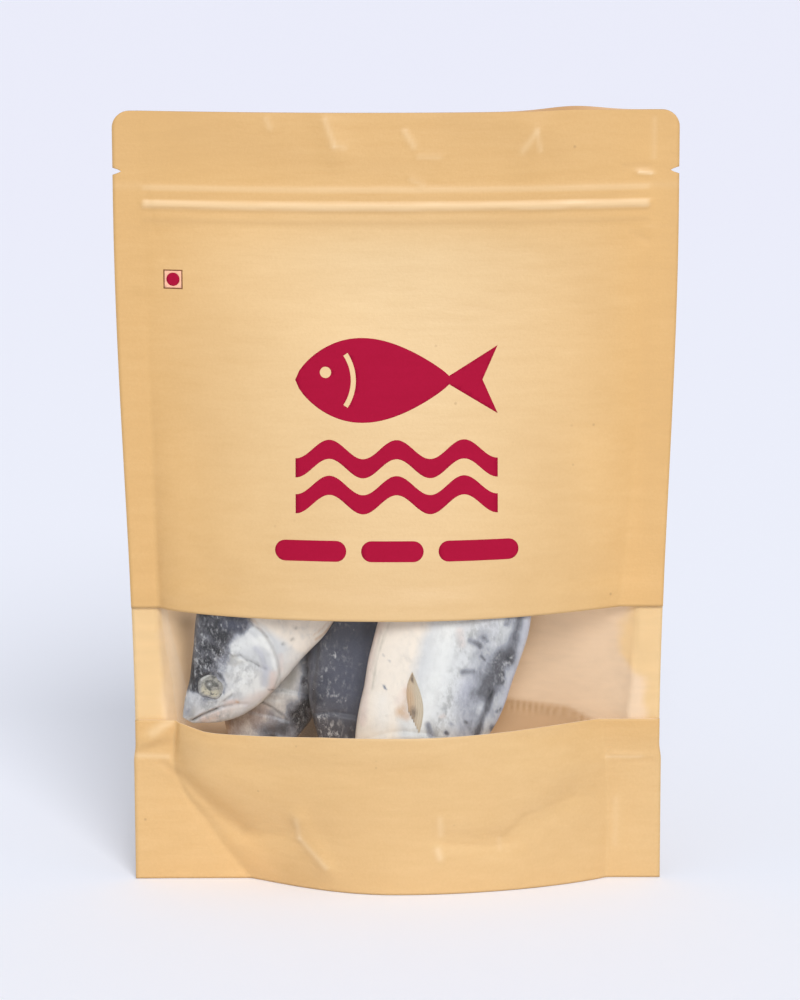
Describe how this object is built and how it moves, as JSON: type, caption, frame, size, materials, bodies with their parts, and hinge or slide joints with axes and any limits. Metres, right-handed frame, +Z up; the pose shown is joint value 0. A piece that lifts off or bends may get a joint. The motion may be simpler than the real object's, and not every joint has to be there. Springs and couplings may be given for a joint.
{
  "type": "kraft stand-up pouch of dried fish",
  "caption": "Shut kraft paper stand-up pouch with a clear strip across its lower front, a press zip and tear notches, holding whole dried fish.",
  "frame": {"origin": "on the floor, under the middle of the standing pouch", "axes": "+X to the right seen from the printed front, +Y to the back, +Z up the pouch"},
  "size_m": [0.19, 0.059, 0.2662],
  "materials": {
    "kraft_paper": "satin golden kraft laminate",
    "clear_film": "clear gloss film",
    "pale_fish_skin": "dried pale silvery skin with a mottled dark back",
    "slate_fish_skin": "dried slate blue skin with salt frost"
  },
  "bodies": {
    "root": {"kraft_front_upper": "kraft_paper", "kraft_front_lower": "kraft_paper", "kraft_back": "kraft_paper", "kraft_gusset": "kraft_paper", "window_film": "clear_film", "fish_left": "pale_fish_skin", "fish_right": "pale_fish_skin", "fish_middle": "slate_fish_skin", "fish_behind": "slate_fish_skin"}
  },
  "joints": []
}
